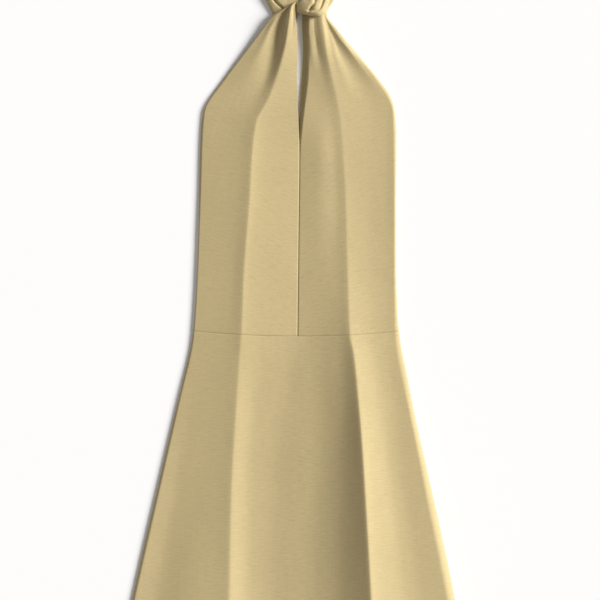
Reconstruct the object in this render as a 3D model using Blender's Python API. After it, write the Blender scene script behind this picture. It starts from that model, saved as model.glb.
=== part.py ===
"""A halter dress with a knotted neck and a low waist seam, laid flat on its back.

The dress lies on the plane z = 0 with its neck towards +Y and its front up. Each panel is a
cloth wall worked out from its outline and from the lines of its folds. All sizes are in metres.
"""

import math
from collections import namedtuple

import bmesh
import bpy
import numpy as np

# Driving sizes
CLOTH = 0.0015  # wall of every panel, a firm woven cloth with its turnings
SEAM_GAP = 0.0003  # between two pieces that are sewn together
BACK_INSET = 0.0026  # the back lies this far inside the outline, within the rolled side
UNDERARM_LEVEL = 0.334
BACK_TOP_DIP = 0.008  # how far the back's top edge dips at its middle
BACK_TOP_HALF_WIDTH = 0.195
WAIST_LEVEL = -0.111
WAIST_RISE = 0.010  # how far the waist seam rises at a side
WAIST_HALF_WIDTH = 0.207
WAIST_MIDDLE = 0.010
HEM_LEVEL = -0.731
HEM_RADIUS = 1.64  # of the arc that the flared hem is cut to

# Colours of the cloth, as linear red, green and blue
CLOTH_COLOUR = (0.49, 0.38, 0.20)
BACK_COLOUR = (0.42, 0.32, 0.17)
CLOTH_ROUGHNESS = 0.85

Fold = namedtuple("Fold", "level across height")
Crease = namedtuple("Crease", "level height left_reach right_reach")
Strap = namedtuple("Strap", "inner_across inner_level outer_across outer_level bottom depth")


def rows_of(kind, *rows):
    """Rows of a table, each with that kind's named columns."""
    return [kind(*row) for row in rows]


# The outline. Its height is where the edge of the cloth lies: on the floor, or on the strap.
SIDE_LEFT = rows_of(
    Fold,
    (0.554, 0.004, 0.0124),
    (0.548, -0.006, 0.012),
    (0.540, -0.021, 0.0115),
    (0.533, -0.034, 0.0106),
    (0.527, -0.041, 0.010),
    (0.517, -0.048, 0.0092),
    (0.501, -0.061, 0.008),
    (0.481, -0.076, 0.0066),
    (0.441, -0.107, 0.004),
    (0.401, -0.138, 0.0016),
    (0.368, -0.163, 0.000),
    (0.351, -0.173, 0.000),
    (0.334, -0.179, 0.000),
    (0.301, -0.183, 0.000),
    (0.201, -0.186, 0.000),
    (0.081, -0.188, 0.000),
    (-0.019, -0.192, 0.000),
    (-0.079, -0.196, 0.000),
    (-0.129, -0.203, 0.000),
    (-0.179, -0.214, 0.000),
    (-0.279, -0.238, 0.000),
    (-0.399, -0.266, 0.000),
    (-0.559, -0.303, 0.000),
    (-0.731, -0.341, 0.000),
)
SIDE_RIGHT = rows_of(
    Fold,
    (0.605, 0.084, 0.0),
    (0.590, 0.091, 0.0),
    (0.575, 0.090, 0.0),
    (0.561, 0.083, 0.0),
    (0.545, 0.073, 0.0),
    (0.534, 0.0690, 0.0),
    (0.527, 0.070, 0.0),
    (0.517, 0.078, 0.0),
    (0.501, 0.090, 0.0),
    (0.481, 0.106, 0.0),
    (0.441, 0.140, 0.0),
    (0.401, 0.173, 0.0),
    (0.371, 0.194, 0.0),
    (0.351, 0.202, 0.0),
    (0.334, 0.205, 0.0),
    (0.281, 0.208, 0.0),
    (0.161, 0.207, 0.0),
    (0.041, 0.207, 0.0),
    (-0.079, 0.211, 0.0),
    (-0.129, 0.217, 0.0),
    (-0.179, 0.227, 0.0),
    (-0.279, 0.247, 0.0),
    (-0.399, 0.274, 0.0),
    (-0.519, 0.301, 0.0),
    (-0.731, 0.344, 0.0),
)

# Lines that the left front bends along. In the skirt they run on to the hem.
ROLL_LEFT = rows_of(
    Fold,
    (0.554, 0.0048, 0.0165),
    (0.540, -0.018, 0.0165),
    (0.527, -0.038, 0.0142),
    (0.501, -0.058, 0.0118),
    (0.461, -0.088, 0.009),
    (0.401, -0.1335, 0.0064),
    (0.334, -0.1752, 0.0056),
    (0.161, -0.183, 0.0056),
    (-0.111, -0.1965, 0.0056),
    (-0.239, -0.224, 0.006),
    (-0.439, -0.269, 0.0066),
    (-0.731, -0.335, 0.0068),
)
OUTER_LEFT = rows_of(
    Fold,
    (0.554, 0.0054, 0.0175),
    (0.540, -0.0135, 0.019),
    (0.527, -0.031, 0.017),
    (0.501, -0.041, 0.0146),
    (0.481, -0.049, 0.0136),
    (0.441, -0.067, 0.0122),
    (0.401, -0.088, 0.0106),
    (0.361, -0.112, 0.0092),
    (0.321, -0.132, 0.0084),
    (0.261, -0.140, 0.0084),
    (-0.111, -0.155, 0.0086),
    (-0.239, -0.200, 0.0072),
    (-0.339, -0.224, 0.0064),
    (-0.439, -0.240, 0.0058),
    (-0.559, -0.262, 0.0054),
    (-0.731, -0.290, 0.0054),
)
VALLEY_LEFT = rows_of(
    Fold,
    (0.554, 0.006, 0.018),
    (0.545, -0.0062, 0.016),
    (0.534, -0.012, 0.011),
    (0.521, -0.017, 0.0082),
    (0.501, -0.0225, 0.0046),
    (0.481, -0.0275, 0.005),
    (0.441, -0.038, 0.0064),
    (0.401, -0.051, 0.0084),
    (0.361, -0.070, 0.0106),
    (0.321, -0.091, 0.0114),
    (0.261, -0.100, 0.0114),
    (-0.111, -0.127, 0.0108),
    (-0.239, -0.154, 0.0108),
    (-0.439, -0.170, 0.0130),
    (-0.559, -0.193, 0.0146),
    (-0.731, -0.212, 0.0160),
)
RIDGE_LEFT = rows_of(
    Fold,
    (0.554, 0.0066, 0.019),
    (0.548, -0.0005, 0.024),
    (0.541, -0.004, 0.027),
    (0.527, -0.0075, 0.028),
    (0.501, -0.011, 0.0265),
    (0.481, -0.0135, 0.024),
    (0.441, -0.022, 0.0195),
    (0.401, -0.034, 0.0165),
    (0.361, -0.049, 0.0148),
    (0.341, -0.060, 0.0142),
    (0.321, -0.071, 0.0138),
    (0.261, -0.080, 0.0136),
    (0.161, -0.086, 0.0136),
    (0.001, -0.098, 0.0134),
    (-0.111, -0.102, 0.0134),
    (-0.159, -0.106, 0.0138),
    (-0.239, -0.111, 0.015),
    (-0.439, -0.122, 0.0174),
    (-0.559, -0.1245, 0.0198),
    (-0.731, -0.127, 0.0220),
)
FOOT_LEFT = rows_of(
    Fold,
    (-0.111, -0.055, 0.0092),
    (-0.239, -0.080, 0.0088),
    (-0.439, -0.092, 0.0092),
    (-0.731, -0.094, 0.0116),
)

# The edges of the front slit, which meet in the seam down the middle of the bodice. On the right
# the cloth folds down and under itself, so that its edge lies near the floor.
SLIT_LEFT = rows_of(
    Fold,
    (0.554, 0.0074, 0.0180),
    (0.545, 0.0056, 0.0215),
    (0.521, 0.0062, 0.0225),
    (0.501, 0.009, 0.0195),
    (0.461, 0.010, 0.0140),
    (0.411, 0.009, 0.0105),
    (0.351, 0.011, 0.0088),
    (0.300, 0.0131, 0.0074),
    (0.268, 0.014, 0.0058),
    (0.250, 0.014, 0.0050),
    (0.161, 0.013, 0.0048),
    (-0.111, 0.010, 0.0056),
)
TURN_RIGHT = rows_of(
    Fold,
    (0.605, 0.062, 0.0020),
    (0.575, 0.053, 0.0020),
    (0.555, 0.036, 0.0020),
    (0.540, 0.022, 0.0018),
    (0.521, 0.019, 0.0016),
    (0.461, 0.021, 0.0016),
    (0.411, 0.0185, 0.0016),
    (0.371, 0.0155, 0.0018),
    (0.341, 0.0150, 0.0032),
    (0.300, 0.0145, 0.0040),
    (0.268, 0.014, 0.0048),
    (0.250, 0.014, 0.0044),
    (0.161, 0.013, 0.0042),
    (-0.111, 0.010, 0.0050),
)
UNDER_RIGHT = rows_of(
    Fold,
    (0.605, 0.0633, 0.0026),
    (0.575, 0.0562, 0.0032),
    (0.555, 0.041, 0.0035),
    (0.540, 0.030, 0.0030),
    (0.521, 0.0278, 0.0024),
    (0.461, 0.0286, 0.0022),
    (0.411, 0.0272, 0.0022),
    (0.371, 0.0236, 0.0026),
    (0.341, 0.0202, 0.0034),
    (0.300, 0.0170, 0.0044),
    (0.268, 0.0152, 0.0049),
    (0.250, 0.0151, 0.0047),
    (0.161, 0.0141, 0.0045),
    (-0.111, 0.0111, 0.0053),
)
SLIT_RIGHT = rows_of(
    Fold,
    (0.605, 0.064, 0.0030),
    (0.575, 0.058, 0.0050),
    (0.555, 0.044, 0.0075),
    (0.540, 0.033, 0.0105),
    (0.521, 0.031, 0.0135),
    (0.501, 0.031, 0.0140),
    (0.461, 0.032, 0.0120),
    (0.411, 0.031, 0.0110),
    (0.381, 0.028, 0.0104),
    (0.351, 0.024, 0.0098),
    (0.312, 0.0195, 0.0088),
    (0.268, 0.0162, 0.0060),
    (0.250, 0.0160, 0.0050),
    (0.161, 0.0150, 0.0048),
    (-0.111, 0.0120, 0.0056),
)
CENTRE_SKIRT = rows_of(
    Fold,
    (-0.111, 0.005, 0.0056),
    (-0.239, -0.020, 0.0062),
    (-0.439, -0.045, 0.0068),
    (-0.731, -0.052, 0.0076),
)

# Lines that the right front bends along.
INNER_RIGHT = rows_of(
    Fold,
    (0.605, 0.067, 0.0034),
    (0.575, 0.062, 0.0056),
    (0.555, 0.048, 0.009),
    (0.540, 0.0375, 0.013),
    (0.521, 0.0345, 0.0152),
    (0.501, 0.0348, 0.0150),
    (0.461, 0.0375, 0.0142),
    (0.411, 0.046, 0.012),
    (0.341, 0.058, 0.0102),
    (0.261, 0.060, 0.0096),
    (0.161, 0.059, 0.0088),
    (0.041, 0.058, 0.008),
    (-0.059, 0.056, 0.008),
    (-0.111, 0.048, 0.008),
    (-0.139, 0.048, 0.0086),
    (-0.239, 0.056, 0.0110),
    (-0.339, 0.057, 0.0122),
    (-0.439, 0.050, 0.0128),
    (-0.559, 0.042, 0.0130),
    (-0.731, 0.034, 0.0130),
)
DIP_RIGHT = rows_of(
    Fold,
    (0.605, 0.070, 0.0036),
    (0.575, 0.066, 0.0058),
    (0.555, 0.055, 0.0092),
    (0.540, 0.0440, 0.0126),
    (0.521, 0.0420, 0.0142),
    (0.501, 0.0425, 0.0146),
    (0.481, 0.0460, 0.0140),
    (0.441, 0.0540, 0.0130),
    (0.401, 0.062, 0.0128),
    (0.361, 0.073, 0.0116),
    (0.321, 0.079, 0.0096),
    (0.261, 0.084, 0.0073),
    (0.161, 0.088, 0.0071),
    (0.041, 0.090, 0.0087),
    (-0.059, 0.093, 0.012),
    (-0.111, 0.096, 0.0142),
    (-0.139, 0.098, 0.0156),
    (-0.239, 0.105, 0.0204),
    (-0.339, 0.102, 0.0212),
    (-0.439, 0.098, 0.0220),
    (-0.559, 0.094, 0.0216),
    (-0.731, 0.092, 0.0216),
)
RIDGE_RIGHT = rows_of(
    Fold,
    (0.605, 0.073, 0.0038),
    (0.575, 0.073, 0.0062),
    (0.555, 0.064, 0.0098),
    (0.540, 0.057, 0.014),
    (0.527, 0.058, 0.0185),
    (0.501, 0.0620, 0.0210),
    (0.461, 0.0665, 0.0198),
    (0.411, 0.0760, 0.0170),
    (0.361, 0.088, 0.0134),
    (0.321, 0.095, 0.0106),
    (0.261, 0.100, 0.0084),
    (0.161, 0.106, 0.0085),
    (0.041, 0.109, 0.0106),
    (-0.059, 0.112, 0.0146),
    (-0.111, 0.1145, 0.018),
    (-0.139, 0.1205, 0.0214),
    (-0.239, 0.131, 0.0296),
    (-0.339, 0.139, 0.0360),
    (-0.439, 0.145, 0.0396),
    (-0.559, 0.152, 0.0416),
    (-0.731, 0.161, 0.0430),
)
FLANK_RIGHT = rows_of(
    Fold,
    (0.605, 0.076, 0.0037),
    (0.575, 0.079, 0.006),
    (0.555, 0.0705, 0.009),
    (0.540, 0.0625, 0.0115),
    (0.527, 0.0645, 0.014),
    (0.501, 0.0720, 0.0105),
    (0.481, 0.0810, 0.0088),
    (0.461, 0.0915, 0.0080),
    (0.431, 0.112, 0.008),
    (0.401, 0.130, 0.0074),
    (0.371, 0.148, 0.0064),
    (0.321, 0.158, 0.0052),
    (0.161, 0.158, 0.0046),
    (0.041, 0.158, 0.0056),
    (-0.059, 0.158, 0.0074),
    (-0.111, 0.159, 0.009),
    (-0.139, 0.162, 0.0104),
    (-0.239, 0.175, 0.0148),
    (-0.339, 0.187, 0.0178),
    (-0.439, 0.199, 0.0214),
    (-0.559, 0.212, 0.0230),
    (-0.731, 0.230, 0.0240),
)
OUTER_RIGHT = rows_of(
    Fold,
    (0.605, 0.078, 0.0034),
    (0.575, 0.083, 0.0055),
    (0.555, 0.0745, 0.008),
    (0.540, 0.065, 0.0105),
    (0.527, 0.0672, 0.0135),
    (0.501, 0.0820, 0.0150),
    (0.481, 0.0955, 0.0148),
    (0.461, 0.112, 0.0138),
    (0.431, 0.134, 0.0112),
    (0.401, 0.157, 0.0086),
    (0.371, 0.176, 0.0064),
    (0.321, 0.188, 0.0046),
    (0.161, 0.188, 0.0042),
    (0.041, 0.188, 0.0048),
    (-0.111, 0.190, 0.0068),
    (-0.139, 0.190, 0.008),
    (-0.239, 0.202, 0.0116),
    (-0.339, 0.213, 0.0150),
    (-0.439, 0.224, 0.0184),
    (-0.559, 0.242, 0.0196),
    (-0.731, 0.266, 0.0204),
)
ROLL_RIGHT = rows_of(
    Fold,
    (0.605, 0.080, 0.003),
    (0.575, 0.086, 0.0048),
    (0.555, 0.0775, 0.0068),
    (0.540, 0.0668, 0.009),
    (0.527, 0.0684, 0.012),
    (0.501, 0.0865, 0.0135),
    (0.461, 0.116, 0.0115),
    (0.401, 0.166, 0.0076),
    (0.334, 0.200, 0.0052),
    (0.161, 0.2025, 0.0050),
    (0.041, 0.2025, 0.0052),
    (-0.111, 0.204, 0.0066),
    (-0.139, 0.207, 0.0078),
    (-0.239, 0.227, 0.0120),
    (-0.339, 0.248, 0.0156),
    (-0.439, 0.267, 0.0188),
    (-0.559, 0.292, 0.0200),
    (-0.731, 0.324, 0.0206),
)

# The pressed creases that sharpen the two long ridges: how high each stands, and how far it
# reaches on either side.
CREASE_LEFT = rows_of(
    Crease,
    (0.400, 0.0, 0.020, 0.014),
    (0.320, 0.0024, 0.026, 0.014),
    (0.260, 0.0028, 0.030, 0.014),
    (-0.080, 0.0026, 0.030, 0.016),
    (-0.159, 0.0016, 0.026, 0.016),
    (-0.731, 0.0016, 0.026, 0.014),
)
CREASE_RIGHT = rows_of(
    Crease,
    (0.400, 0.0, 0.040, 0.024),
    (0.260, 0.0014, 0.040, 0.018),
    (0.041, 0.0024, 0.040, 0.018),
    (-0.111, 0.0028, 0.030, 0.018),
    (-0.239, 0.0036, 0.034, 0.014),
    (-0.439, 0.0048, 0.036, 0.012),
    (-0.731, 0.0050, 0.036, 0.012),
)

# How far each side of a line the cloth turns through its bend.
BEND_TIGHT = 0.0015
BEND_SHARP = 0.004
BEND_SOFT = 0.022
CREASE_ROUNDING = 0.003

# The neck straps: the inner and outer edge, then the underside and the thickness.
NAPE_ACROSS = 0.015
NAPE_ROW = (NAPE_ACROSS, 0.685, NAPE_ACROSS, 0.731, 0.0, 0.0105)
STRAP_LEFT = rows_of(
    Strap,
    (0.008, 0.522, -0.030, 0.517, 0.0, 0.0080),
    (0.013, 0.540, -0.038, 0.530, 0.0, 0.0090),
    (0.014, 0.556, -0.047, 0.548, 0.0, 0.0110),
    (0.011, 0.573, -0.056, 0.568, 0.0, 0.0130),
    (0.001, 0.600, -0.065, 0.598, 0.0, 0.0140),
    (-0.009, 0.628, -0.069, 0.630, 0.0, 0.0130),
    (-0.013, 0.654, -0.064, 0.665, 0.0, 0.0120),
    (-0.008, 0.674, -0.047, 0.700, 0.0, 0.0115),
    (0.002, 0.683, -0.019, 0.723, 0.0, 0.0110),
    NAPE_ROW,
)
STRAP_RIGHT = rows_of(
    Strap,
    (0.0088, 0.551, 0.0082, 0.534, 0.0135, 0.0085),
    (0.0125, 0.5535, 0.0145, 0.531, 0.0140, 0.0125),
    (0.0205, 0.5570, 0.026, 0.528, 0.0140, 0.0165),
    (0.0290, 0.5585, 0.039, 0.525, 0.0140, 0.0190),
    (0.0330, 0.5605, 0.051, 0.524, 0.0140, 0.0200),
    (0.0350, 0.5640, 0.062, 0.5290, 0.0120, 0.0205),
    (0.0355, 0.5700, 0.068, 0.5400, 0.0090, 0.0205),
    (0.0358, 0.5800, 0.074, 0.5560, 0.0060, 0.0200),
    (0.0368, 0.5940, 0.080, 0.5770, 0.0040, 0.0185),
    (0.0405, 0.6150, 0.0895, 0.6020, 0.0050, 0.0140),
    (0.0450, 0.6380, 0.0980, 0.6350, 0.0, 0.0130),
    (0.0440, 0.6580, 0.0945, 0.6680, 0.0, 0.0120),
    (0.0380, 0.6740, 0.0770, 0.7000, 0.0, 0.0115),
    (0.0280, 0.6830, 0.0490, 0.7230, 0.0, 0.0110),
    NAPE_ROW,
)
STRAP_CREASE_AT = 0.50  # from the middle of the strap towards its outer edge
STRAP_CREASE_DEPTH = 0.45  # share of the strap's thickness
STRAP_CREASE_HALF_WIDTH = 0.11
STRAP_GATHERS = 4
STRAP_GATHER_DEPTH = 0.0008
STRAP_EDGE_SHARE = 0.35  # of the thickness, at either edge
STRAP_UNDERSIDE_SHARE = 0.92  # of the width
STRAP_OVER_CLOTH = 0.0005  # clearance of the right strap over the gathers that it binds
GATHER_REACH = 0.003  # how far round a point of the strap the gathers are cleared
STRAP_RINGS = 32
STRAP_TOP_STEPS = 18
STRAP_BOTTOM_STEPS = 14

# Where the panels are cut into rows and columns of facets
BODICE_LEVELS = (
    -0.111, -0.060, 0.020, 0.110, 0.190, 0.235, 0.268, 0.290, 0.312, 0.334, 0.351, 0.368,
    0.384, 0.401, 0.421, 0.441, 0.461, 0.481, 0.501, 0.517, 0.527,
)  # fmt: skip
KNOT_LEVELS_LEFT = (0.534, 0.541, 0.546, 0.550, 0.5535)
KNOT_LEVELS_RIGHT = (0.534, 0.541, 0.549, 0.561, 0.575, 0.590, 0.605)
WAIST_BLEND_LEVEL = 0.110  # above it the rows of the bodice are straight
SKIRT_ROWS = 15
# Steps between each two lines, from the left. A rolled side has four.
LEFT_STEPS = (4, 2, 3, 4, 6)
RIGHT_STEPS = (2, 2, 2, 3, 4, 5, 3, 2, 4)
SKIRT_STEPS = (4, 2, 2, 3, 5, 2, 4, 4, 5, 6, 3, 2, 4)
STATION_CROWDING = 0.75  # how much closer the steps lie beside a line, from 0 to 1
BACK_COLUMNS = 10
BACK_BODICE_ROWS = (0.0, 0.08, 0.2, 0.4, 0.6, 0.8, 0.93, 1.0)
BACK_SKIRT_ROWS = (1.0, 0.78, 0.55, 0.35, 0.18, 0.08, 0.0)


def slopes_through(levels, values):
    """Slopes of a smooth curve through the rows that never overshoots them."""
    step = np.diff(levels)
    slope = np.diff(values) / step
    inner = np.zeros(len(levels))
    for i in range(1, len(levels) - 1):
        before, after = slope[i - 1], slope[i]
        if before * after > 0:
            weight_before = 2 * step[i] + step[i - 1]
            weight_after = step[i] + 2 * step[i - 1]
            total = weight_before + weight_after
            inner[i] = total / (weight_before / before + weight_after / after)
    inner[0], inner[-1] = slope[0], slope[-1]
    return inner


def column_curve(rows, key, column):
    """A smooth function of one column of a table, read against another column."""
    rows = sorted(rows, key=lambda row: getattr(row, key))
    at = np.array([getattr(row, key) for row in rows])
    values = np.array([getattr(row, column) for row in rows])
    slopes = slopes_through(at, values)

    def curve(level):
        level = min(max(level, at[0]), at[-1])
        i = int(min(max(np.searchsorted(at, level) - 1, 0), len(at) - 2))
        span = at[i + 1] - at[i]
        t = (level - at[i]) / span
        start, end = values[i], values[i + 1]
        leave, arrive = slopes[i] * span, slopes[i + 1] * span
        cubic = 2 * start - 2 * end + leave + arrive
        square = -3 * start + 3 * end - 2 * leave - arrive
        return ((cubic * t + square) * t + leave) * t + start

    return curve


class Line:
    """A fold or an edge that runs the length of the dress."""

    def __init__(self, rows, bend, shift=0.0):
        across = column_curve(rows, "level", "across")
        self.across = lambda level: across(level) + shift
        self.height = column_curve(rows, "level", "height")
        self.bend = bend


LEFT_LINES = [
    Line(SIDE_LEFT, 0.0),
    Line(ROLL_LEFT, 0.0),
    Line(OUTER_LEFT, BEND_SOFT),
    Line(VALLEY_LEFT, BEND_SOFT),
    Line(RIDGE_LEFT, BEND_SHARP),
]
RIGHT_LINES = [
    Line(INNER_RIGHT, BEND_SOFT),
    Line(DIP_RIGHT, BEND_SOFT),
    Line(RIDGE_RIGHT, BEND_SHARP),
    Line(FLANK_RIGHT, BEND_SOFT),
    Line(OUTER_RIGHT, BEND_SOFT),
    Line(ROLL_RIGHT, 0.0),
    Line(SIDE_RIGHT, 0.0),
]
BODICE_LEFT_LINES = [*LEFT_LINES, Line(SLIT_LEFT, 0.0, -SEAM_GAP / 2)]
BODICE_RIGHT_LINES = [
    Line(TURN_RIGHT, 0.0, SEAM_GAP / 2),
    Line(UNDER_RIGHT, BEND_TIGHT),
    Line(SLIT_RIGHT, BEND_TIGHT),
    *RIGHT_LINES,
]
SKIRT_LINES = [
    *LEFT_LINES,
    Line(FOOT_LEFT, BEND_SOFT),
    Line(CENTRE_SKIRT, BEND_SOFT),
    *RIGHT_LINES,
]


class PressedCrease:
    """A crease along a ridge, which reaches further on one side than on the other."""

    def __init__(self, line, rows):
        self.across = line.across
        self.height, self.left_reach, self.right_reach = (
            column_curve(rows, "level", name) for name in Crease._fields[1:]
        )


CREASES = [
    PressedCrease(LEFT_LINES[-1], CREASE_LEFT),
    PressedCrease(RIGHT_LINES[2], CREASE_RIGHT),
]


def crease_height(across, level):
    """What the pressed creases add to the cloth's height."""
    total = 0.0
    for crease in CREASES:
        away = across - crease.across(level)
        reach = crease.left_reach(level) if away < 0 else crease.right_reach(level)
        away = math.hypot(away, CREASE_ROUNDING) - CREASE_ROUNDING
        total += crease.height(level) * math.exp(-away / reach)
    return total


def bent_height(across, level, lines):
    """Height of cloth that runs straight between its lines and turns softly at each."""
    places = [line.across(level) for line in lines]
    heights = [line.height(level) for line in lines]
    slopes = [
        (heights[i + 1] - heights[i]) / (places[i + 1] - places[i])
        for i in range(len(lines) - 1)
    ]
    height = heights[0] + slopes[0] * (across - places[0])
    for i in range(1, len(lines) - 1):
        away = across - places[i]
        room = 0.5 * min(places[i] - places[i - 1], places[i + 1] - places[i])
        bend = max(min(lines[i].bend, room), 1e-6)
        if away >= bend:
            ramp = away
        elif away <= -bend:
            ramp = 0.0
        else:
            ramp = (away + bend) ** 2 / (4 * bend)
        height += (slopes[i] - slopes[i - 1]) * ramp
    return height + crease_height(across, level)


def station_point(station, level, lines, left_roll, right_roll):
    """Place and height at a station, whose whole part counts the lines from the left."""
    last = len(lines) - 1
    index = min(int(station), last - 1)
    share = station - index
    here, there = lines[index].across(level), lines[index + 1].across(level)
    inner = lines[1 if left_roll else 0 : last if right_roll else last + 1]
    if left_roll and station < 1:
        angle = share * math.pi / 2
        across = here + (there - here) * (1 - math.cos(angle))
        edge = lines[0].height(level)
        return across, edge + (bent_height(across, level, inner) - edge) * math.sin(angle)
    if right_roll and station > last - 1:
        angle = (1 - share) * math.pi / 2
        across = there - (there - here) * (1 - math.cos(angle))
        edge = lines[last].height(level)
        return across, edge + (bent_height(across, level, inner) - edge) * math.sin(angle)
    across = here + (there - here) * share
    return across, bent_height(across, level, inner)


def waist_seam(across):
    """Level of the waist seam, which rises a little towards the sides."""
    return WAIST_LEVEL + WAIST_RISE * ((across - WAIST_MIDDLE) / WAIST_HALF_WIDTH) ** 2


def hem_edge(across):
    """Level of the hem, which is cut to an arc."""
    return HEM_LEVEL + HEM_RADIUS - math.sqrt(HEM_RADIUS**2 - across**2)


def bodice_level(across, level):
    """A bodice row at that level, following the waist seam near it."""
    share = (WAIST_BLEND_LEVEL - level) / (WAIST_BLEND_LEVEL - WAIST_LEVEL)
    share = min(max(share, 0.0), 1.0)
    return level + (waist_seam(across) - WAIST_LEVEL + SEAM_GAP / 2) * share


def skirt_level(across, share):
    """A skirt row that share of the way from the waist seam to the hem."""
    top = waist_seam(across) - SEAM_GAP / 2
    return top + (hem_edge(across) - top) * share


def grid_of(stations, rows, row_level, lines, left_roll=False, right_roll=False):
    """Outer points of a panel. A row's level and its points' places are settled together."""
    grid = np.zeros((len(rows), len(stations), 3))
    for i, row in enumerate(rows):
        for j, station in enumerate(stations):
            level = row_level(0.0, row)
            for _ in range(4):
                across, height = station_point(station, level, lines, left_roll, right_roll)
                level = row_level(across, row)
            grid[i, j] = (across, level, height)
    return grid


def normals_of(grid):
    """Unit normals of a grid of points, upwards."""
    normal = np.cross(np.gradient(grid, axis=1), np.gradient(grid, axis=0))
    normal /= np.linalg.norm(normal, axis=2, keepdims=True)
    on_floor = grid[:, :, 2] < 1e-6
    normal[on_floor, 2] = 0.0
    return normal / np.linalg.norm(normal, axis=2, keepdims=True)


def wall_faces(rows, columns):
    """Faces of a closed wall whose outer points come first and inner points after them."""
    inner = rows * columns
    faces = []
    for i in range(rows - 1):
        for j in range(columns - 1):
            a = i * columns + j
            ring = (a, a + 1, a + columns + 1, a + columns)
            faces.append(ring)
            faces.append(tuple(inner + k for k in reversed(ring)))
    around = (
        [j for j in range(columns)]
        + [i * columns + columns - 1 for i in range(1, rows)]
        + [(rows - 1) * columns + j for j in range(columns - 2, -1, -1)]
        + [i * columns for i in range(rows - 2, 0, -1)]
    )
    for a, b in zip(around, around[1:] + around[:1]):
        faces.append((b, a, inner + a, inner + b))
    return faces


def cloth_material(name, colour):
    material = bpy.data.materials.new(name)
    material.use_nodes = True
    shader = material.node_tree.nodes["Principled BSDF"]
    shader.inputs["Base Color"].default_value = (*colour, 1.0)
    shader.inputs["Roughness"].default_value = CLOTH_ROUGHNESS
    shader.inputs["Metallic"].default_value = 0.0
    return material


def add_object(name, points, faces, colour, collection):
    """One closed piece as an object of its own, with its own material."""
    mesh = bpy.data.meshes.new(name)
    mesh.from_pydata([tuple(p) for p in points], [], faces)
    mesh.validate()
    cleaner = bmesh.new()
    cleaner.from_mesh(mesh)
    bmesh.ops.recalc_face_normals(cleaner, faces=cleaner.faces)
    cleaner.to_mesh(mesh)
    cleaner.free()
    mesh.shade_smooth()
    mesh.materials.append(cloth_material(name, colour))
    piece = bpy.data.objects.new(name, mesh)
    collection.objects.link(piece)
    return piece


def add_wall(name, outer, colour, collection):
    """A cloth wall with those outer points and its inner points one thickness below."""
    inner = outer - normals_of(outer) * CLOTH
    inner[:, :, 2] = np.maximum(inner[:, :, 2], 0.0)
    points = np.concatenate([outer.reshape(-1, 3), inner.reshape(-1, 3)])
    return add_object(name, points, wall_faces(*outer.shape[:2]), colour, collection)


def stations_of(steps, left_roll=False, right_roll=False):
    """Stations for a number of steps between each two lines, closer together at the lines."""
    stations = []
    for span, count in enumerate(steps):
        in_left = left_roll and span == 0
        in_right = right_roll and span == len(steps) - 1
        for i in range(count):
            share = i / count
            if not in_left and not in_right:
                share -= STATION_CROWDING * math.sin(2 * math.pi * share) / (2 * math.pi)
            stations.append(span + share)
    return [*stations, len(steps)]


def front_left(collection):
    grid = grid_of(
        stations_of(LEFT_STEPS, left_roll=True),
        (*BODICE_LEVELS, *KNOT_LEVELS_LEFT),
        bodice_level,
        BODICE_LEFT_LINES,
        left_roll=True,
    )
    return add_wall("front_bodice_left", grid, CLOTH_COLOUR, collection)


def front_right(collection):
    grid = grid_of(
        stations_of(RIGHT_STEPS, right_roll=True),
        (*BODICE_LEVELS, *KNOT_LEVELS_RIGHT),
        bodice_level,
        BODICE_RIGHT_LINES,
        right_roll=True,
    )
    return add_wall("front_bodice_right", grid, CLOTH_COLOUR, collection)


def front_skirt(collection):
    # From the hem up, as the bodice's rows run, so that the panel's normals point up.
    shares = [1 - i / SKIRT_ROWS for i in range(SKIRT_ROWS + 1)]
    grid = grid_of(
        stations_of(SKIRT_STEPS, left_roll=True, right_roll=True),
        shares,
        skirt_level,
        SKIRT_LINES,
        left_roll=True,
        right_roll=True,
    )
    return add_wall("front_skirt", grid, CLOTH_COLOUR, collection)


def back_grid(rows, row_level):
    """Outer points of a flat back panel, inside the front's rolled sides."""
    left, right = LEFT_LINES[0].across, RIGHT_LINES[-1].across
    grid = np.zeros((len(rows), BACK_COLUMNS + 1, 3))
    for i, row in enumerate(rows):
        for j in range(BACK_COLUMNS + 1):
            level = row_level(0.0, row)
            for _ in range(4):
                start, end = left(level) + BACK_INSET, right(level) - BACK_INSET
                across = start + (end - start) * j / BACK_COLUMNS
                level = row_level(across, row)
            grid[i, j] = (across, level, CLOTH)
    return grid


def back_bodice(collection):
    def row_level(across, share):
        bottom = waist_seam(across) + SEAM_GAP / 2
        aside = (across - WAIST_MIDDLE) / BACK_TOP_HALF_WIDTH
        top = UNDERARM_LEVEL - BACK_TOP_DIP * (1 - aside**2)
        return bottom + (top - bottom) * share

    grid = back_grid(BACK_BODICE_ROWS, row_level)
    return add_wall("back_bodice", grid, BACK_COLOUR, collection)


def back_skirt(collection):
    grid = back_grid(BACK_SKIRT_ROWS, skirt_level)
    return add_wall("back_skirt", grid, BACK_COLOUR, collection)


def path_curves(rows):
    """Smooth functions of the distance along a strap for each column of its table."""
    middles = [
        ((row.inner_across + row.outer_across) / 2, (row.inner_level + row.outer_level) / 2)
        for row in rows
    ]
    steps = [math.dist(a, b) for a, b in zip(middles, middles[1:])]
    along = [sum(steps[:i]) for i in range(len(rows))]
    placed_row = namedtuple("PlacedRow", ("along", *Strap._fields))
    placed = [placed_row(place, *row) for place, row in zip(along, rows)]
    curves = [column_curve(placed, "along", name) for name in Strap._fields]
    return curves, along[-1]


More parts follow.
